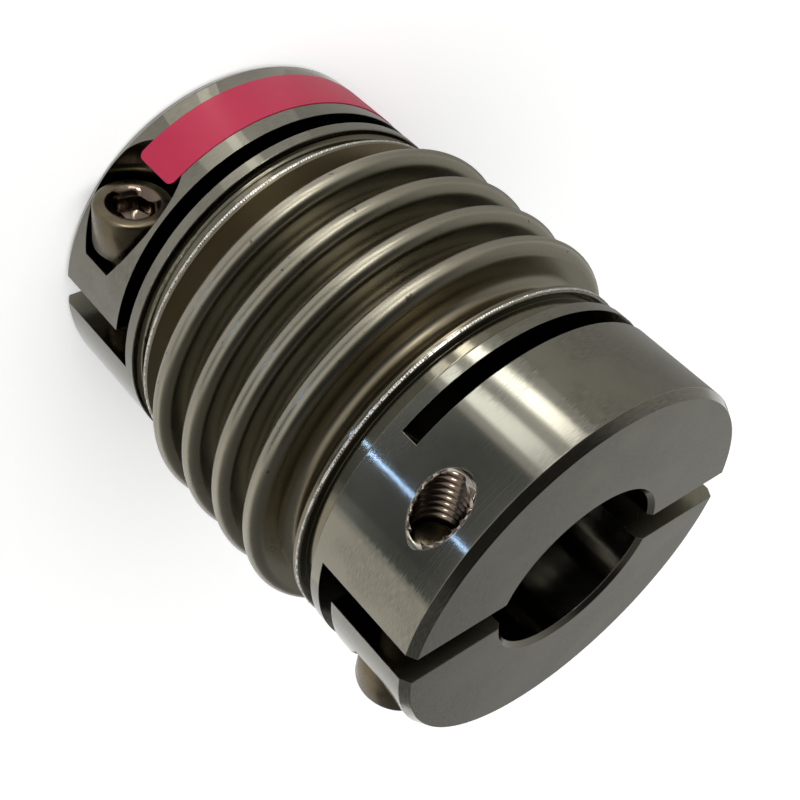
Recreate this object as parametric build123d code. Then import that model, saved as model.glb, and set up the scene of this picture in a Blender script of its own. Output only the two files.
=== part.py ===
from build123d import *

import math
import os

# Metal bellows coupling: two clamp hubs joined by a welded bellows.
#
# The coupling stands on the end face of its rear hub. Its axis is +Z, X runs along the slots that
# split the clamp rings, and the clamp screws run along Y at negative X. Both hubs are the same
# piece, and the front one is turned half a turn about X. Sizes are in millimetres, angles in
# degrees about Z from +X.

# Hub body
hub_diameter = 66.0
bore_diameter = 30.0
bore_chamfer = 0.75

# Clamp ring: from the outer end face to the saw cut behind it
clamp_length = 17.0
end_chamfer_length = 1.5
end_chamfer_depth = 0.9
split_width = 5.8
saw_cut_width = 3.05
saw_cut_end_angle = 132.8
hinge_web_angle = 40.0

# Base ring, relief groove and welding rim behind the saw cut
base_ring_length = 2.1
base_ring_edge = 0.15
groove_width = 3.0
groove_depth = 1.5
groove_radius = 0.9
rim_width = 1.0
rim_drop = 0.1
rim_rounding = 0.35

# Clamp screw, its counterbore and its threaded hole
screw_inset = 8.3
screw_setback = 8.5
thread_diameter = 8.0
thread_chamfer = 0.8
screw_length = 25.0
head_diameter = 13.0
head_height = 8.0
head_chamfer = 0.6
socket_width = 6.0
socket_depth = 4.0
socket_chamfer = 0.35
counterbore_diameter = 15.0
counterbore_floor = 9.8
clearance_hole_diameter = 9.0
hole_deburr = 0.25
rear_screw_lift = 2.2

# Bellows sheet: bend radii are at the middle of the sheet
root_diameter = 58.8
sheet_thickness = 0.5
crest_count = 4
crest_bend = 1.75
root_bend = 2.375
flat_wall = 2.675
end_gap = 1.475

# Adhesive label round the clamp ring of the rear hub
label_width = 9.2
label_thickness = 0.12
label_setback = 4.5
label_start_angle = 14.5
label_end_angle = 130.3
label_corner = 1.3

# Sizes that follow from the ones above
hub_radius = hub_diameter / 2
bore_radius = bore_diameter / 2
rim_radius = hub_radius - rim_drop
screw_offset = hub_radius - screw_inset
clamp_and_cut = clamp_length + saw_cut_width
base_end = clamp_and_cut + base_ring_length
groove_end = base_end + groove_width
hub_length = groove_end + rim_width
pitch = 2 * (crest_bend + root_bend)
root_centre = root_diameter / 2 - sheet_thickness / 2 + root_bend
crest_centre = root_centre + flat_wall
first_root = hub_length + end_gap + root_bend
overall_length = 2 * first_root + crest_count * pitch
reach = 2 * hub_radius


def turned_hub():
    """Hub turned from bar: bore, end chamfer, base ring, groove and welding rim."""
    floor = hub_radius - groove_depth
    base_edge = hub_radius - base_ring_edge
    rim_edge = rim_radius - rim_rounding
    bore_edge = bore_radius + bore_chamfer
    outline = [
        Line((bore_radius, bore_chamfer), (bore_edge, 0)),
        Line((bore_edge, 0), (hub_radius - end_chamfer_depth, 0)),
        Line((hub_radius - end_chamfer_depth, 0), (hub_radius, end_chamfer_length)),
        Line((hub_radius, end_chamfer_length), (hub_radius, base_end - base_ring_edge)),
        Line((hub_radius, base_end - base_ring_edge), (base_edge, base_end)),
        Line((base_edge, base_end), (floor + groove_radius, base_end)),
        JernArc((floor + groove_radius, base_end), (-1, 0), groove_radius, -90),
        Line((floor, base_end + groove_radius), (floor, groove_end)),
        Line((floor, groove_end), (rim_edge, groove_end)),
        JernArc((rim_edge, groove_end), (1, 0), rim_rounding, 90),
        Line((rim_radius, groove_end + rim_rounding), (rim_radius, hub_length)),
        Line((rim_radius, hub_length), (bore_edge, hub_length)),
        Line((bore_edge, hub_length), (bore_radius, hub_length - bore_chamfer)),
        Line((bore_radius, hub_length - bore_chamfer), (bore_radius, bore_chamfer)),
    ]
    return revolve(Plane.XZ * make_face(Wire(outline)), Axis.Z)


def sector(radius, first, last, thickness):
    """Slice of a disc on the XY plane between two angles."""
    return Rot(0, 0, first) * Cylinder(radius, thickness, arc_size=last - first, align=None)


def on_screw_axis(height):
    """Place on the screw axis of the rear hub, its own Z along the screw towards the head."""
    return Pos(-screw_offset, height, screw_setback) * Rot(-90, 0, 0)


def along_screw(radius, start, end):
    """Cylinder round the screw axis between two heights along Y."""
    return on_screw_axis(start) * Cylinder(radius, end - start, align=None)


def flared_screw(radius, start, end):
    """Short cone round the screw axis that widens by its own length."""
    length = end - start
    return on_screw_axis(start) * Cone(radius, radius + length, length, align=None)


def hub():
    """Clamp hub with its outer face at z = 0; the jaw at positive Y is the free one."""
    body = turned_hub()
    body -= Pos(0, 0, clamp_and_cut / 2) * Box(2 * reach, split_width, clamp_and_cut)
    saw_cut = Pos(0, 0, clamp_length)
    body -= saw_cut * sector(reach, hinge_web_angle, 180, saw_cut_width)
    body -= saw_cut * sector(reach, -saw_cut_end_angle, -hinge_web_angle, saw_cut_width)
    body -= along_screw(counterbore_diameter / 2, counterbore_floor, reach)
    body -= along_screw(clearance_hole_diameter / 2, 0, counterbore_floor)
    body -= along_screw(thread_diameter / 2, -reach, 0)
    lower_jaw = -split_width / 2
    body -= flared_screw(thread_diameter / 2, lower_jaw - hole_deburr, lower_jaw)
    return body


def clamp_screw(lift=0):
    """Socket head cap screw, its head at positive Y and raised from its seat by lift."""
    seat = counterbore_floor + lift
    top = seat + head_height
    head = along_screw(head_diameter / 2, seat, top)
    head = chamfer(head.edges().group_by(Axis.Y)[-1], head_chamfer)
    shank = along_screw(thread_diameter / 2, seat - screw_length, seat)
    shank = chamfer(shank.edges().group_by(Axis.Y)[0], thread_chamfer)
    corner_radius = socket_width / math.sqrt(3)
    hexagon = extrude(RegularPolygon(corner_radius, 6), socket_depth)
    socket = on_screw_axis(top - socket_depth) * hexagon
    socket += flared_screw(corner_radius - socket_chamfer, top - socket_chamfer, top)
    return head + shank - socket


def end_wall(centre, side, radius):
    """Sloped wall from a root bend to where the sheet is welded to the rim of a hub.

    The line is tangent to the bend, and the middle of the sheet meets the hub's inner face at
    the rim. Returns where it leaves the bend and where it reaches the rim's radius.
    """
    outward = rim_radius - root_centre
    room = end_gap + root_bend
    slope = math.acos(root_bend / math.hypot(outward, room)) - math.atan2(outward, room)
    start = (root_centre - radius * math.sin(slope), centre + side * radius * math.cos(slope))
    rise = (rim_radius - start[0]) * math.tan(slope)
    return start, (rim_radius, start[1] + side * rise)


def bellows_side(offset):
    """Edges of one face of the bellows sheet, offset outwards from its middle surface."""
    over, under = crest_bend + offset, root_bend - offset
    last_root = first_root + crest_count * pitch
    first_start, first_end = end_wall(first_root, -1, under)
    last_start, last_end = end_wall(last_root, 1, under)
    edges = [Line(first_end, first_start)]
    leaving = first_start
    for number in range(crest_count):
        root = first_root + number * pitch
        crest = root + pitch / 2
        edges += [
            ThreePointArc(leaving, (root_centre - under, root), (root_centre, root + under)),
            Line((root_centre, root + under), (crest_centre, crest - over)),
            ThreePointArc(
                (crest_centre, crest - over), (crest_centre + over, crest), (crest_centre, crest + over)
            ),
            Line((crest_centre, crest + over), (root_centre, crest + over)),
        ]
        leaving = (root_centre, crest + over)
    edges.append(ThreePointArc(leaving, (root_centre - under, last_root), last_start))
    edges.append(Line(last_start, last_end))
    return edges


def bellows():
    """Formed sheet with its convolutions, cut flush at the inner faces of the hubs."""
    outside = bellows_side(sheet_thickness / 2)
    inside = bellows_side(-sheet_thickness / 2)
    ends = [Line(outside[0] @ 0, inside[0] @ 0), Line(outside[-1] @ 1, inside[-1] @ 1)]
    sheet = revolve(Plane.XZ * make_face(Wire(outside + ends + inside)), Axis.Z)
    between_hubs = Cylinder(reach, overall_length - 2 * hub_length)
    return sheet & Pos(0, 0, overall_length / 2) * between_hubs


def label():
    """Thin label wrapped round the clamp ring, with rounded corners."""
    strip = sector(hub_radius + label_thickness, label_start_angle, label_end_angle, label_width)
    strip -= Cylinder(hub_radius, label_width, align=None)
    corners = strip.edges().filter_by(GeomType.LINE).filter_by(Axis.Z, reverse=True)
    return Pos(0, 0, label_setback) * fillet(corners, label_corner)


def front(piece):
    """The same piece at the front hub, turned half a turn about X."""
    return Pos(0, 0, overall_length) * Rot(180, 0, 0) * piece


pieces = {
    "rear_hub": hub(),
    "front_hub": front(hub()),
    "bellows": bellows(),
    "rear_clamp_screw": clamp_screw(rear_screw_lift),
    "front_clamp_screw": front(clamp_screw()),
    "label": label(),
}

os.makedirs("parts", exist_ok=True)
for name, piece in pieces.items():
    export_step(piece, f"parts/{name}.step")
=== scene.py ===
import math
import random

import bpy
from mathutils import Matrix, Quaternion, Vector


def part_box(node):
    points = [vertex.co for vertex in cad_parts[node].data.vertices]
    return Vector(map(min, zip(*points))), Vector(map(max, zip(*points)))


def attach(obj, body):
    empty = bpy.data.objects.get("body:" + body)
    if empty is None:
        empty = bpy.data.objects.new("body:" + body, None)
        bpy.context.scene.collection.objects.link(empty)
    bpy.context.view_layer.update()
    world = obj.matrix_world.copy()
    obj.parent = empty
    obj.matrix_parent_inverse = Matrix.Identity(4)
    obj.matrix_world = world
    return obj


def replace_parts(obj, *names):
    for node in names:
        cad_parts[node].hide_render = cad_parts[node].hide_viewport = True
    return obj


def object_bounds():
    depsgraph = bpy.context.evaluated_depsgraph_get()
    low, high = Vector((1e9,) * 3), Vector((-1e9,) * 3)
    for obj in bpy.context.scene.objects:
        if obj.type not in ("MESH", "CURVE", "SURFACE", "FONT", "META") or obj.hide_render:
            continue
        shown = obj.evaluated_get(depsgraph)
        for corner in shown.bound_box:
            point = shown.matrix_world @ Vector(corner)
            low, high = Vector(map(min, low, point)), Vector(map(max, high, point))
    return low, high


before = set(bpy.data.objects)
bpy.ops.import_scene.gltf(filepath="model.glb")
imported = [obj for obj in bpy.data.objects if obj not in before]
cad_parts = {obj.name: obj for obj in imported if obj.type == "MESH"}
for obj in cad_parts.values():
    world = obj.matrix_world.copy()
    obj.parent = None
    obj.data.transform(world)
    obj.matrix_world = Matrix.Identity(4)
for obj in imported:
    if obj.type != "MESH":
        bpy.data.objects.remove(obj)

MM = 0.001
CAD_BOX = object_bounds()

# Places on the part that the materials look for, in metres.
MIDDLE = (CAD_BOX[0][2] + CAD_BOX[1][2]) / 2
SLOT_WALL = 2.9 * MM                  # from the plane between the jaws to a slot's wall
GROOVE = 22.85 * MM                   # along the axis, from the middle to the middle of a hub's groove
GROOVE_HALF_WIDTH = 1.52 * MM
GROOVE_RADIUS = 32.9 * MM             # the groove's walls lie inside this radius
HEAT_TINT = (14.5 * MM, 16.5 * MM)    # along the axis, from the middle: where the tint starts and is full
CREST = (35.0 * MM, 35.6 * MM)        # radius where a crest of the bellows starts and is full


# ---- Shader helpers -------------------------------------------------------------------------

class Nodes:
    """A node tree, with short calls for the nodes that the materials and the sky share."""

    def __init__(self, tree):
        self.nodes = tree.nodes
        self.links = tree.links

    def set(self, socket, value):
        if isinstance(value, bpy.types.NodeSocket):
            self.links.new(value, socket)
        else:
            socket.default_value = value

    def math(self, operation, *values):
        node = self.nodes.new("ShaderNodeMath")
        node.operation = operation
        for socket, value in zip(node.inputs, values):
            self.set(socket, value)
        return node.outputs[0]

    def vector(self, operation, *values):
        node = self.nodes.new("ShaderNodeVectorMath")
        node.operation = operation
        for socket, value in zip(node.inputs, values):
            self.set(socket, value)
        return node.outputs["Value" if operation == "DOT_PRODUCT" else "Vector"]

    def scaled(self, vector, factor):
        node = self.nodes.new("ShaderNodeVectorMath")
        node.operation = "SCALE"
        self.set(node.inputs[0], vector)
        self.set(node.inputs["Scale"], factor)
        return node.outputs["Vector"]

    def split(self, vector):
        node = self.nodes.new("ShaderNodeSeparateXYZ")
        self.set(node.inputs[0], vector)
        return node.outputs

    def join(self, x, y, z):
        node = self.nodes.new("ShaderNodeCombineXYZ")
        for socket, value in zip(node.inputs, (x, y, z)):
            self.set(socket, value)
        return node.outputs[0]

    def gap(self, value, target):
        """How far a value is from a target, either way."""
        return self.math("ABSOLUTE", self.math("SUBTRACT", value, target))

    def from_axis(self, x, y):
        squares = self.math("ADD", self.math("MULTIPLY", x, x), self.math("MULTIPLY", y, y))
        return self.math("SQRT", squares)

    def noise(self, vector, scale, detail):
        node = self.nodes.new("ShaderNodeTexNoise")
        self.set(node.inputs["Vector"], vector)
        node.inputs["Scale"].default_value = scale
        node.inputs["Detail"].default_value = detail
        return node.outputs["Fac"]

    def remap(self, value, low, high, new_low, new_high, smooth=False):
        node = self.nodes.new("ShaderNodeMapRange")
        node.interpolation_type = "SMOOTHSTEP" if smooth else "LINEAR"
        for socket, number in zip(node.inputs[:5], (value, low, high, new_low, new_high)):
            self.set(socket, number)
        return node.outputs["Result"]

    def mix(self, amount, first, second):
        node = self.nodes.new("ShaderNodeMix")
        node.data_type = "RGBA"
        self.set(node.inputs["Factor"], amount)
        self.set(node.inputs["A"], first)
        self.set(node.inputs["B"], second)
        return node.outputs["Result"]

    def bump(self, height, distance, normal=None):
        node = self.nodes.new("ShaderNodeBump")
        self.set(node.inputs["Height"], height)
        node.inputs["Distance"].default_value = distance
        node.inputs["Strength"].default_value = 1.0
        if normal is not None:
            self.links.new(normal, node.inputs["Normal"])
        return node.outputs["Normal"]

    def soft_edges(self, radius):
        node = self.nodes.new("ShaderNodeBevel")
        node.samples = 6
        node.inputs["Radius"].default_value = radius
        return node.outputs["Normal"]


class Shader(Nodes):
    """A material with one surface shader."""

    def __init__(self, name):
        self.material = bpy.data.materials.new(name)
        self.material.use_nodes = True
        super().__init__(self.material.node_tree)
        self.nodes.clear()
        self.output = self.nodes.new("ShaderNodeOutputMaterial")
        self.surface = self.nodes.new("ShaderNodeBsdfPrincipled")
        self.links.new(self.surface.outputs["BSDF"], self.output.inputs["Surface"])
        self.place = self.nodes.new("ShaderNodeTexCoord").outputs["Object"]

    def finish(self, **sockets):
        """Sets the surface's sockets, named with underscores for spaces."""
        for name, value in sockets.items():
            self.set(self.surface.inputs[name.replace("_", " ")], value)
        return self.material


# ---- Materials ------------------------------------------------------------------------------

def turned_steel():
    """Bright turned metal, with duller saw-cut slot walls that carry painted light near their open ends,
    and browner grooves.
    """
    s = Shader("turned_steel")
    x, y, z = s.split(s.place)[:3]
    radius = s.from_axis(x, y)
    from_middle = s.gap(z, MIDDLE)

    # The tool's feed leaves rings, which vary along the outside and out across the faces.
    across_rings = s.math("ADD", radius, z)
    feed = s.noise(s.join(0, 0, across_rings), 5200, detail=3)
    patches = s.noise(s.place, 60, detail=3)
    colour = s.mix(patches, (0.167, 0.160, 0.131, 1), (0.196, 0.188, 0.155, 1))
    rough = s.remap(feed, 0.3, 0.7, 0.10, 0.17)

    # Saw-cut slot walls are duller and paler. Their paleness is strongest near the coupling's ends and
    # fades inward, and it is painted light falling in at each slot's open end.
    on_wall = s.math("LESS_THAN", s.gap(s.math("ABSOLUTE", y), SLOT_WALL), 0.03 * MM)
    from_end = s.math("SUBTRACT", MIDDLE, from_middle)
    sawn_and_lit = s.remap(from_end, 1 * MM, 7 * MM, 1, 0.1, smooth=True)
    slot_wall_sawn_and_lit = s.math("MULTIPLY", on_wall, sawn_and_lit)
    colour = s.mix(slot_wall_sawn_and_lit, colour, (0.20, 0.19, 0.14, 1))
    rough = s.math("ADD", rough, s.math("MULTIPLY", slot_wall_sawn_and_lit, 0.2))

    near_groove = s.math("LESS_THAN", s.gap(from_middle, GROOVE), GROOVE_HALF_WIDTH)
    in_groove = s.math("MULTIPLY", near_groove, s.math("LESS_THAN", radius, GROOVE_RADIUS))
    colour = s.mix(in_groove, colour, (0.135, 0.122, 0.086, 1))

    # Short scratches round the axis darken the metal and tip it a little to the side.
    turn = s.math("ARCTAN2", y, x)
    drawn_out = s.join(s.math("MULTIPLY", turn, 22), 0, s.math("MULTIPLY", across_rings, 11000))
    scratches = s.noise(drawn_out, 1, detail=1)
    worn = s.remap(s.noise(s.place, 90, detail=2), 0.38, 0.6, 0.2, 1, smooth=True)
    darkened = s.math("MULTIPLY", s.remap(scratches, 0.62, 0.38, 0, 0.6), worn)
    colour = s.mix(darkened, colour, (0.085, 0.083, 0.070, 1))
    swing = s.math("MULTIPLY", s.math("SUBTRACT", scratches, 0.5), worn)
    swing = s.math("MULTIPLY", swing, 0.06)

    round_the_axis = s.vector("CROSS_PRODUCT", (0, 0, 1), s.place)
    sideways = s.scaled(s.vector("NORMALIZE", round_the_axis), swing)
    normal = s.bump(feed, 0.004 * MM, normal=s.soft_edges(0.16 * MM))
    normal = s.vector("NORMALIZE", s.vector("ADD", normal, sideways))
    return s.finish(
        Base_Color=colour, Metallic=1.0, Roughness=rough, Anisotropic=0.6,
        Anisotropic_Rotation=0.25, Tangent=round_the_axis, Normal=normal,
    )


def satin_steel():
    """Formed sheet with a fine grain, brown from the weld's heat at both ends and nicked on its crests."""
    s = Shader("satin_steel")
    x, y, z = s.split(s.place)[:3]
    patches = s.noise(s.place, 90, detail=4)
    colour = s.mix(patches, (0.205, 0.190, 0.146, 1), (0.255, 0.237, 0.184, 1))
    heat = s.remap(s.gap(z, MIDDLE), *HEAT_TINT, 0, 1, smooth=True)
    colour = s.mix(heat, colour, (0.150, 0.125, 0.080, 1))
    on_crest = s.remap(s.from_axis(x, y), *CREST, 0, 0.7, smooth=True)
    nicks = s.remap(s.noise(s.place, 640, detail=1), 0.735, 0.78, 0, 1, smooth=True)
    colour = s.mix(s.math("MULTIPLY", nicks, on_crest), colour, (0.050, 0.040, 0.026, 1))
    grain = s.noise(s.place, 4000, detail=2)
    rough = s.remap(patches, 0.3, 0.7, 0.27, 0.34)
    normal = s.bump(grain, 0.006 * MM)
    return s.finish(Base_Color=colour, Metallic=1.0, Roughness=rough, Normal=normal)


def brown_steel():
    """Browned metal of the screws."""
    s = Shader("brown_steel")
    patches = s.noise(s.place, 400, detail=4)
    colour = s.mix(patches, (0.068, 0.055, 0.033, 1), (0.160, 0.133, 0.088, 1))
    rough = s.remap(patches, 0.3, 0.7, 0.22, 0.36)
    normal = s.bump(patches, 0.03 * MM, normal=s.soft_edges(0.3 * MM))
    return s.finish(Base_Color=colour, Metallic=1.0, Roughness=rough, Normal=normal)


def recess_shaded_steel():
    """Polished brown metal inside a socket or a tapped hole; its dark colour is painted shade of the
    recess.
    """
    s = Shader("recess_shaded_steel")
    patches = s.noise(s.place, 600, detail=3)
    colour = s.mix(patches, (0.075, 0.054, 0.040, 1), (0.17, 0.135, 0.108, 1))
    return s.finish(Base_Color=colour, Metallic=1.0, Roughness=0.13)


def bright_steel():
    """Fresh metal of the weld beads."""
    s = Shader("bright_steel")
    patches = s.noise(s.place, 700, detail=3)
    colour = s.mix(patches, (0.25, 0.24, 0.21, 1), (0.70, 0.68, 0.62, 1))
    return s.finish(Base_Color=colour, Metallic=1.0, Roughness=0.16)


def scuffed_steel():
    """Chipped metal round the mouths of the tapped holes."""
    s = Shader("scuffed_steel")
    patches = s.noise(s.place, 900, detail=3)
    colour = s.mix(patches, (0.22, 0.205, 0.165, 1), (0.55, 0.52, 0.43, 1))
    normal = s.bump(patches, 0.05 * MM)
    return s.finish(Base_Color=colour, Metallic=1.0, Roughness=0.33, Normal=normal)


def label_film():
    s = Shader("label_film")
    patches = s.noise(s.place, 150, detail=3)
    colour = s.mix(patches, (0.36, 0.009, 0.044, 1), (0.40, 0.011, 0.053, 1))
    return s.finish(Base_Color=colour, Roughness=0.42, Specular_IOR_Level=0.3)


def dress(node, material):
    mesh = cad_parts[node].data
    mesh.materials.clear()
    mesh.materials.append(material)


hub_steel = turned_steel()
screw_steel = brown_steel()
socket_steel = recess_shaded_steel()
weld_steel = bright_steel()
worn_edge = scuffed_steel()

dress("rear_hub", hub_steel)
dress("front_hub", hub_steel)
dress("bellows", satin_steel())
dress("rear_clamp_screw", screw_steel)
dress("front_clamp_screw", screw_steel)
dress("label", label_film())


# ---- Mesh helpers, in millimetres -----------------------------------------------------------

def box_mm(node):
    """The two corners of a CAD node's box."""
    return [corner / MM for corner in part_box(node)]


def hub_radius(node):
    low, high = box_mm(node)
    return (high.x - low.x) / 2


def add_piece(name, points, faces, material):
    """Mesh piece that rides on the one body."""
    mesh = bpy.data.meshes.new(name)
    mesh.from_pydata([Vector(point) * MM for point in points], [], faces)
    mesh.materials.append(material)
    mesh.polygons.foreach_set("use_smooth", [True] * len(mesh.polygons))
    mesh.validate()
    piece = bpy.data.objects.new(name, mesh)
    bpy.context.scene.collection.objects.link(piece)
    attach(piece, "root")
    return piece


def loft_faces(rings, count):
    """Quads between neighbouring rings of count points each."""
    return [
        (ring * count + k, ring * count + (k + 1) % count,
         (ring + 1) * count + (k + 1) % count, (ring + 1) * count + k)
        for ring in range(rings - 1) for k in range(count)
    ]


def end_caps(rings, count):
    """The faces that close a loft at its first and last ring."""
    last = (rings - 1) * count
    return [tuple(reversed(range(count))), tuple(range(last, last + count))]


def apply_modifiers(piece):
    bpy.context.view_layer.update()
    evaluated = piece.evaluated_get(bpy.context.evaluated_depsgraph_get())
    made = bpy.data.meshes.new_from_object(evaluated)
    piece.modifiers.clear()
    piece.data = made


def join(pieces, name):
    """Joins pieces that share a slot into the first one."""
    with bpy.context.temp_override(
        active_object=pieces[0], selected_editable_objects=pieces, object=pieces[0]
    ):
        bpy.ops.object.join()
    pieces[0].name = name
    return pieces[0]


# ---- Screws and threads ---------------------------------------------------------------------

THREAD_PITCH = 1.25
THREAD_RADIUS = 4.0
THREAD_CORE = 3.3           # radius at the root of the thread
HEAD_RADIUS = 6.5
HEAD_HEIGHT = 8.0
HEAD_ROUNDING = 0.75
SOCKET_FLAT = 3.0           # from the socket's middle to one of its six flats
SOCKET_CORNER = 2 / math.sqrt(3) * SOCKET_FLAT
SOCKET_WEAR = 0.94          # a worn corner's distance, as a share of a sharp one's
SOCKET_DEPTH = 4.0
POLE = 0.02                 # radius of the smallest ring, in the middle of an end
TURN_POINTS = 48            # points round one turn of a screw


class ScrewAxis:
    """The axis of one clamp screw, from the box of its CAD node; heights run from tip to head."""

    def __init__(self, node, head_sign):
        low, high = box_mm(node)
        self.x, self.z = (low.x + high.x) / 2, (low.z + high.z) / 2
        self.tip = low.y if head_sign > 0 else high.y
        self.sign = head_sign
        self.length = high.y - low.y

    def point(self, radius, angle, height):
        return (
            self.x + radius * math.cos(angle) * self.sign,
            self.tip + self.sign * height,
            self.z + radius * math.sin(angle),
        )


def ring(radius, height):
    return [(radius, 2 * math.pi * k / TURN_POINTS, height) for k in range(TURN_POINTS)]


def hexagon_ring(flat, height, turn):
    """Ring on a hexagon with worn corners."""
    points = []
    for k in range(TURN_POINTS):
        angle = 2 * math.pi * k / TURN_POINTS
        off_flat = (angle - turn) % (math.pi / 3) - math.pi / 6
        corner = flat * 2 / math.sqrt(3) * SOCKET_WEAR
        points.append((min(flat / math.cos(off_flat), corner), angle, height))
    return points


def arc_rings(radius, height, rounding):
    """Rings round an outer edge, from the side to the top."""
    steps = 4
    made = []
    for k in range(steps + 1):
        angle = math.pi / 2 * k / steps
        made.append(ring(radius - rounding + rounding * math.cos(angle),
                         height - rounding + rounding * math.sin(angle)))
    return made


def screw_body(axis, name, turn):
    """Head, socket and the core of the threaded shank, as one closed loft."""
    top = axis.length
    seat = top - HEAD_HEIGHT
    socket_floor = top - SOCKET_DEPTH
    tip = [
        ring(POLE, 0),
        ring(THREAD_CORE - 1.0, 0),
        ring(THREAD_CORE - 0.35, 0.25),
        ring(THREAD_CORE, 0.8),
    ]
    shank_end = [ring(THREAD_CORE, seat - 0.3), ring(THREAD_RADIUS, seat)]
    head = [ring(HEAD_RADIUS - 0.25, seat), ring(HEAD_RADIUS, seat + 0.25)]
    head += arc_rings(HEAD_RADIUS, top, HEAD_ROUNDING)
    mouth = [
        ring(SOCKET_CORNER + 1.15, top),
        ring(SOCKET_CORNER + 1.0, top - 0.06),
        ring(SOCKET_CORNER + 0.35, top - 0.5),
    ]
    socket = [
        hexagon_ring(SOCKET_FLAT + 0.2, top - 1.0, turn),
        hexagon_ring(SOCKET_FLAT, top - 1.5, turn),
        hexagon_ring(SOCKET_FLAT, socket_floor + 0.3, turn),
        hexagon_ring(SOCKET_FLAT - 0.2, socket_floor, turn),
        ring(POLE, socket_floor - 0.9),
    ]
    rings = tip + shank_end + head + mouth + socket
    points = [axis.point(*point) for row in rings for point in row]
    body = add_piece(name, points, loft_faces(len(rings), TURN_POINTS), screw_steel)
    body.data.materials.append(socket_steel)
    first_inside = (len(rings) - len(socket) - 2) * TURN_POINTS
    for face in body.data.polygons:
        face.material_index = int(face.index >= first_inside)
    return body


def helix_ridge(axis, name, base, tip, start, end, material):
    """Thread ridge wound round a screw axis, from one radius to another, fading at its ends."""
    turns = (end - start) / THREAD_PITCH
    steps = int(turns * TURN_POINTS)
    columns = 9
    width = 0.99 * THREAD_PITCH
    points = []
    for step in range(steps + 1):
        angle = 2 * math.pi * step / TURN_POINTS
        height = start + THREAD_PITCH * step / TURN_POINTS
        fade = min(1.0, 3 * step / TURN_POINTS, 3 * (steps - step) / TURN_POINTS)
        reach = (tip - base) * max(fade, 0.02)
        for column in range(columns):
            across = column / (columns - 1)
            radius = base + reach * (0.5 - 0.5 * math.cos(2 * math.pi * across))
            points.append(axis.point(radius, angle, height + width * (across - 0.5)))
    faces = loft_faces(steps + 1, columns) + end_caps(steps + 1, columns)
    return add_piece(name, points, faces, material)


def clamp_screw(axis, node, name, turn):
    body = screw_body(axis, name, turn)
    seat = axis.length - HEAD_HEIGHT
    ridge = helix_ridge(
        axis, name + "_ridge", THREAD_CORE - 0.05, THREAD_RADIUS - 0.04, 0.55, seat - 1.0,
        screw_steel,
    )
    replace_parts(join([body, ridge], name), node)


def inner_thread(axis, name, jaw_length):
    """Thread in the jaw ahead of the screw's tip, cut off at the hub's outer surface."""
    ridge = helix_ridge(
        axis, name, THREAD_RADIUS + 0.05, THREAD_CORE + 0.1, -jaw_length, 1.0,
        socket_steel,
    )
    radius = hub_radius("front_hub") - 0.03
    sides = 192
    points = []
    for z in (axis.z - 8, axis.z + 8):
        for k in range(sides):
            angle = 2 * math.pi * k / sides
            points.append((radius * math.cos(angle), radius * math.sin(angle), z))
    faces = loft_faces(2, sides) + end_caps(2, sides)
    keep = add_piece("keep", points, faces, socket_steel)
    cut = ridge.modifiers.new("trim", "BOOLEAN")
    cut.operation = "INTERSECT"
    cut.solver = "EXACT"
    cut.object = keep
    apply_modifiers(ridge)
    bpy.data.objects.remove(keep)


# ---- Chipped rims of the tapped holes -------------------------------------------------------

RIM_POINTS = 160
RIM_WAVES = (3, 5, 9, 14, 23, 37)             # waves per turn that make the edge ragged
RIM_CHIPS = (
    (0.5, 0.33, 1.5),                         # angle, spread and depth of the long chip
    (math.pi - 0.5, 0.55, 0.55),              # and of the short one
)


def worn_rim(axis, name, seed):
    """Ragged bright edge where the tapped hole meets the hub's outer surface."""
    outside = hub_radius("front_hub")
    noise = random.Random(seed)
    waves = []
    for wave in RIM_WAVES:
        phase = noise.uniform(0, 2 * math.pi)
        waves.append((wave, phase, noise.uniform(0.3, 1.0) / wave ** 0.5))
    rows = [[], [], [], []]
    for k in range(RIM_POINTS):
        angle = 2 * math.pi * k / RIM_POINTS
        swell = sum(size * math.sin(wave * angle + phase) for wave, phase, size in waves)
        ragged = max(0.5 + 0.3 * swell, 0.0)
        depth = 0.10 + 0.28 * ragged
        for middle, spread, extra in RIM_CHIPS:
            off = (angle - middle + math.pi) % (2 * math.pi) - math.pi
            depth += extra * (0.7 + 0.4 * ragged) * math.exp(-(off / spread) ** 2)
        inward = min(1.0, 0.35 + depth)
        profile = (
            (-0.86 * inward, -depth),
            (-0.74 * inward, -0.5 * depth),
            (-0.08, 0.0),
            (0.07, -0.03),
        )
        for row, (outward, lift) in zip(rows, profile):
            radius = THREAD_RADIUS + 0.2 + outward
            x = axis.x + radius * math.cos(angle)
            z = axis.z + radius * math.sin(angle)
            y = -axis.sign * math.sqrt(outside ** 2 - x ** 2) - axis.sign * lift
            row.append((x, y, z))
    points = [point for row in rows for point in row]
    add_piece(name, points, loft_faces(4, RIM_POINTS), worn_edge)


# ---- Weld beads -----------------------------------------------------------------------------

BEAD_WIDTH = 0.5
BEAD_SETBACK = 0.25          # along the axis, from the hub's inner face
BEAD_FOOT = 0.1              # how far the bead starts inside the hub's outer surface
RIPPLES = 420
RIPPLE_POINTS = 6
RIPPLE_LEAN = 0.35           # how far the middle of a ripple runs ahead, as a share of it
BEAD_ROWS = 8


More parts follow.
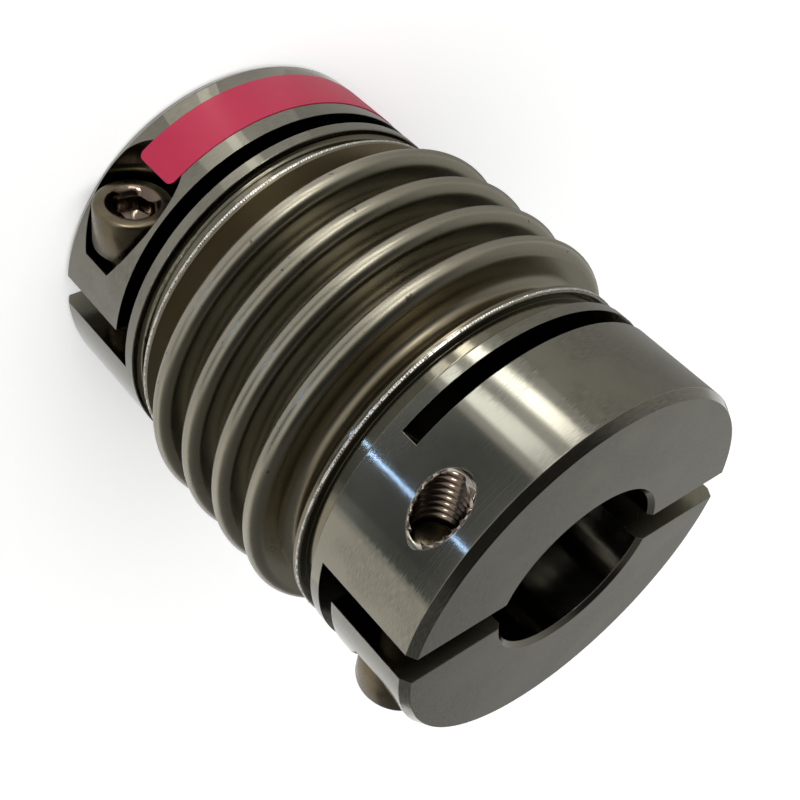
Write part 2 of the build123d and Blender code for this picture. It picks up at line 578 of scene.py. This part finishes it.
def weld_bead(name, hub, seed):
    """Rippled weld along the rim of a hub, where the bellows sheet joins it."""
    low, high = box_mm(hub)
    outer_side = 1 if hub == "front_hub" else -1
    inner_face = low.z if outer_side > 0 else high.z
    foot = hub_radius(hub) - BEAD_FOOT
    around = RIPPLES * RIPPLE_POINTS
    noise = random.Random(seed)
    heights = [noise.uniform(0.2, 1.0) for _ in range(RIPPLES)]
    points = []
    for row in range(BEAD_ROWS + 1):
        across = row / BEAD_ROWS
        dome = math.sin(math.pi * across)
        z = inner_face + outer_side * (BEAD_SETBACK + BEAD_WIDTH * across)
        for k in range(around):
            ripple, step = divmod(k, RIPPLE_POINTS)
            wave = abs(math.sin(math.pi * (step / RIPPLE_POINTS + RIPPLE_LEAN * dome)))
            reach = foot + dome * (0.03 + 0.16 * heights[ripple] * wave)
            angle = 2 * math.pi * k / around
            points.append((reach * math.cos(angle), reach * math.sin(angle), z))
    faces = loft_faces(BEAD_ROWS + 1, around)
    if outer_side < 0:
        faces = [tuple(reversed(face)) for face in faces]
    add_piece(name, points, faces, weld_steel)


rear_axis = ScrewAxis("rear_clamp_screw", 1)
front_axis = ScrewAxis("front_clamp_screw", -1)
clamp_screw(rear_axis, "rear_clamp_screw", "rear_screw", math.radians(10))
clamp_screw(front_axis, "front_clamp_screw", "front_screw", math.radians(25))
inner_thread(rear_axis, "rear_thread", 13)
inner_thread(front_axis, "front_thread", 11)
worn_rim(rear_axis, "rear_rim", 3)
worn_rim(front_axis, "front_rim", 4)
weld_bead("rear_weld", "rear_hub", 8)
weld_bead("front_weld", "front_hub", 7)


# ---- Stage ----------------------------------------------------------------------------------

WHITE = (1, 1, 1, 1)
CREAM = (1, 0.98, 0.93, 1)
IVORY = (1, 0.99, 0.96, 1)
PALE = (1, 1, 0.97, 1)
COOL = (0.90, 0.96, 1, 1)
BLUE = (0.36, 0.56, 1, 1)

# The sine of the elevation where each part of the sky starts to fade and ends, and its strength there.
FRONT_SKY = (0.20, 0.57, 1.35, 0.04)
SIDE_SKY = (0.1, 0.8, 0.28, 0.17)
BACK_SKY = (0.5, 0.9, 0.66, 0.25)

FLOOR_SIDE = 3.0             # half of the floor's width, in metres
SHEET_LIFT = 0.6 * MM        # how far the sheets lie above the floor


def link(thing):
    bpy.context.scene.collection.objects.link(thing)
    return thing


def direction(azimuth, elevation):
    a, e = math.radians(azimuth), math.radians(elevation)
    return Vector((math.cos(a) * math.cos(e), math.sin(a) * math.cos(e), math.sin(e)))


def add_floor():
    """White floor; its glow shows to the camera and in reflections, and doesn't light the part."""
    mesh = bpy.data.meshes.new("floor")
    corners = [(x * FLOOR_SIDE, y * FLOOR_SIDE, 0) for x, y in ((-1, -1), (1, -1), (1, 1), (-1, 1))]
    mesh.from_pydata(corners, [], [(0, 1, 2, 3)])
    floor = link(bpy.data.objects.new("floor", mesh))
    s = Shader("floor")
    path = s.nodes.new("ShaderNodeLightPath").outputs
    seen = s.math("ADD", path["Is Camera Ray"], path["Is Glossy Ray"])
    seen = s.math("ADD", seen, path["Is Transmission Ray"])
    mesh.materials.append(s.finish(
        Base_Color=(0.85, 0.85, 0.85, 1), Roughness=1.0, Specular_IOR_Level=0.0,
        Emission_Color=WHITE, Emission_Strength=s.math("MULTIPLY", seen, 0.28),
    ))


def add_world(camera_side, bright_side):
    """Sky: a bright low band under a dark top on the camera's side, dim at the sides, light behind."""
    world = bpy.data.worlds.new("studio")
    bpy.context.scene.world = world
    world.use_nodes = True
    s = Nodes(world.node_tree)
    x, y, z = s.split(s.nodes.new("ShaderNodeTexCoord").outputs["Generated"])[:3]
    level = s.vector("NORMALIZE", s.join(x, y, 0))
    toward_camera = s.vector("DOT_PRODUCT", level, direction(camera_side, 0))
    toward_bright = s.vector("DOT_PRODUCT", level, direction(bright_side, 0))
    in_front = s.remap(toward_camera, 0.15, 0.7, 0, 1, smooth=True)
    behind = s.remap(toward_bright, 0.2, 1.0, 0, 1, smooth=True)
    front, side, back = (s.remap(z, *sky, smooth=True) for sky in (FRONT_SKY, SIDE_SKY, BACK_SKY))
    background = s.nodes["Background"]
    background.inputs["Color"].default_value = IVORY
    s.set(background.inputs["Strength"], s.mix(in_front, s.mix(behind, side, back), front))


def add_lamp(name, kind, azimuth, elevation, strength):
    """Lamp that shines from a direction."""
    data = bpy.data.lights.new(name, kind)
    data.energy = strength
    lamp = link(bpy.data.objects.new(name, data))
    lamp.rotation_mode = "QUATERNION"
    lamp.rotation_quaternion = (-direction(azimuth, elevation)).to_track_quat("-Z", "Y")
    return lamp


def add_sun(name, azimuth, elevation, angle, strength):
    """Wide sun that reflections don't see."""
    lamp = add_lamp(name, "SUN", azimuth, elevation, strength)
    lamp.data.angle = math.radians(angle)
    lamp.visible_glossy = False


def add_softbox(name, azimuth, elevation, distance, size, power):
    """Rectangular lamp, in metres and watts, that shines at the part's middle."""
    lamp = add_lamp(name, "AREA", azimuth, elevation, power)
    lamp.data.shape = "RECTANGLE"
    lamp.data.size, lamp.data.size_y = size
    lamp.location = Vector((0, 0, 50 * MM)) + direction(azimuth, elevation) * distance
    lamp.visible_camera = False
    return lamp


def light_only(lamp, names):
    """Keeps a lamp to the named pieces."""
    lit = bpy.data.collections.new(lamp.name + "_pieces")
    for name in names:
        lit.objects.link(bpy.data.objects[name])
    lamp.light_linking.receiver_collection = lit


def add_floor_sheet(name, near, far, colour, strengths):
    """Glowing sheet just above the floor that only reflections see.

    Its near and far edge are each a distance in millimetres, a first angle and a last one. It
    glows with the first strength at the first angle and with the second at the last.
    """
    steps = 12
    points = []
    for reach, first, last in (near, far):
        for step in range(steps + 1):
            angle = math.radians(first + (last - first) * step / steps)
            points.append((reach * MM * math.cos(angle), reach * MM * math.sin(angle), SHEET_LIFT))
    faces = [(k, k + steps + 1, k + steps + 2, k + 1) for k in range(steps)]
    mesh = bpy.data.meshes.new(name)
    mesh.from_pydata(points, [], faces)
    sheet = link(bpy.data.objects.new(name, mesh))
    s = Shader(name)
    x, y = s.split(s.place)[:2]
    ends = [math.radians(angle) for angle in near[1:]]
    emission = s.nodes.new("ShaderNodeEmission")
    emission.inputs["Color"].default_value = colour
    s.set(emission.inputs["Strength"], s.remap(s.math("ARCTAN2", y, x), *ends, *strengths))
    s.links.new(emission.outputs[0], s.output.inputs["Surface"])
    mesh.materials.append(s.material)
    sheet.visible_camera = False
    sheet.visible_diffuse = False
    sheet.visible_shadow = False


def add_camera(place, aim, roll, lens):
    """Camera with its place and aim in millimetres, its roll in degrees and its lens in millimetres."""
    data = bpy.data.cameras.new("camera")
    data.sensor_width = 36
    data.lens = lens
    data.clip_start = 10 * MM
    camera = link(bpy.data.objects.new("camera", data))
    camera.location = Vector(place) * MM
    upright = (Vector(aim) * MM - camera.location).to_track_quat("-Z", "Y")
    camera.rotation_mode = "QUATERNION"
    camera.rotation_quaternion = upright @ Quaternion((0, 0, 1), math.radians(roll))
    bpy.context.scene.camera = camera


add_floor()
add_world(camera_side=126, bright_side=-5)
add_sun("sun_right", azimuth=95, elevation=58, angle=45, strength=1.15)
add_sun("sun_left", azimuth=155, elevation=58, angle=45, strength=1.15)
add_softbox("window", azimuth=97, elevation=7, distance=0.5, size=(0.16, 0.10), power=0.34)
glint = add_softbox("glint", azimuth=116, elevation=4, distance=0.5, size=(0.12, 0.08), power=0.8)
light_only(glint, ("rear_thread", "front_thread", "rear_screw", "front_screw"))

# Pale strips that draw the bright streaks along the hubs.
add_floor_sheet("bright_strip", (95, 95.5, 101.2), (240, 78.6, 87.6), (1, 1, 0.98, 1), (8.6, 8.6))
add_floor_sheet("wide_strip", (95, 106, 112), (240, 95.8, 106), (0.97, 1, 1, 1), (4.4, 4.4))
add_floor_sheet("near_glow", (34, 98, 117), (90, 96, 117), IVORY, (1.9, 1.6))
add_floor_sheet("near_strip", (34, 101, 105), (90, 98, 103), PALE, (3, 3))

# Darker cards that draw the shaded bands beside the streaks.
add_floor_sheet("near_card", (115, 114, 184), (180, 112.5, 188), COOL, (0.58, 0.31))
add_floor_sheet("far_card", (180, 112.5, 188), (290, 111, 191), COOL, (0.26, 0.18))
add_floor_sheet("near_grey", (34, -20, 73), (95, -20, 73), CREAM, (0.03, 0.82))
add_floor_sheet("far_grey", (95, -60, 73), (400, -60, 73), CREAM, (0.14, 0.79))

# A pale card at the front slot's side, and the thin blue streak beside the tapped hole.
add_floor_sheet("pale_card", (110, 190, 240), (320, 193, 240), CREAM, (1.4, 1.4))
add_floor_sheet("blue_strip", (125, 154.8, 155.5), (300, 157.0, 157.7), BLUE, (42, 42))

add_camera(place=(-114.91, 150.63, 156.36), aim=(0.85, -1.85, 50.09), roll=134.37, lens=59.6)
bpy.context.scene.view_settings.view_transform = "Standard"
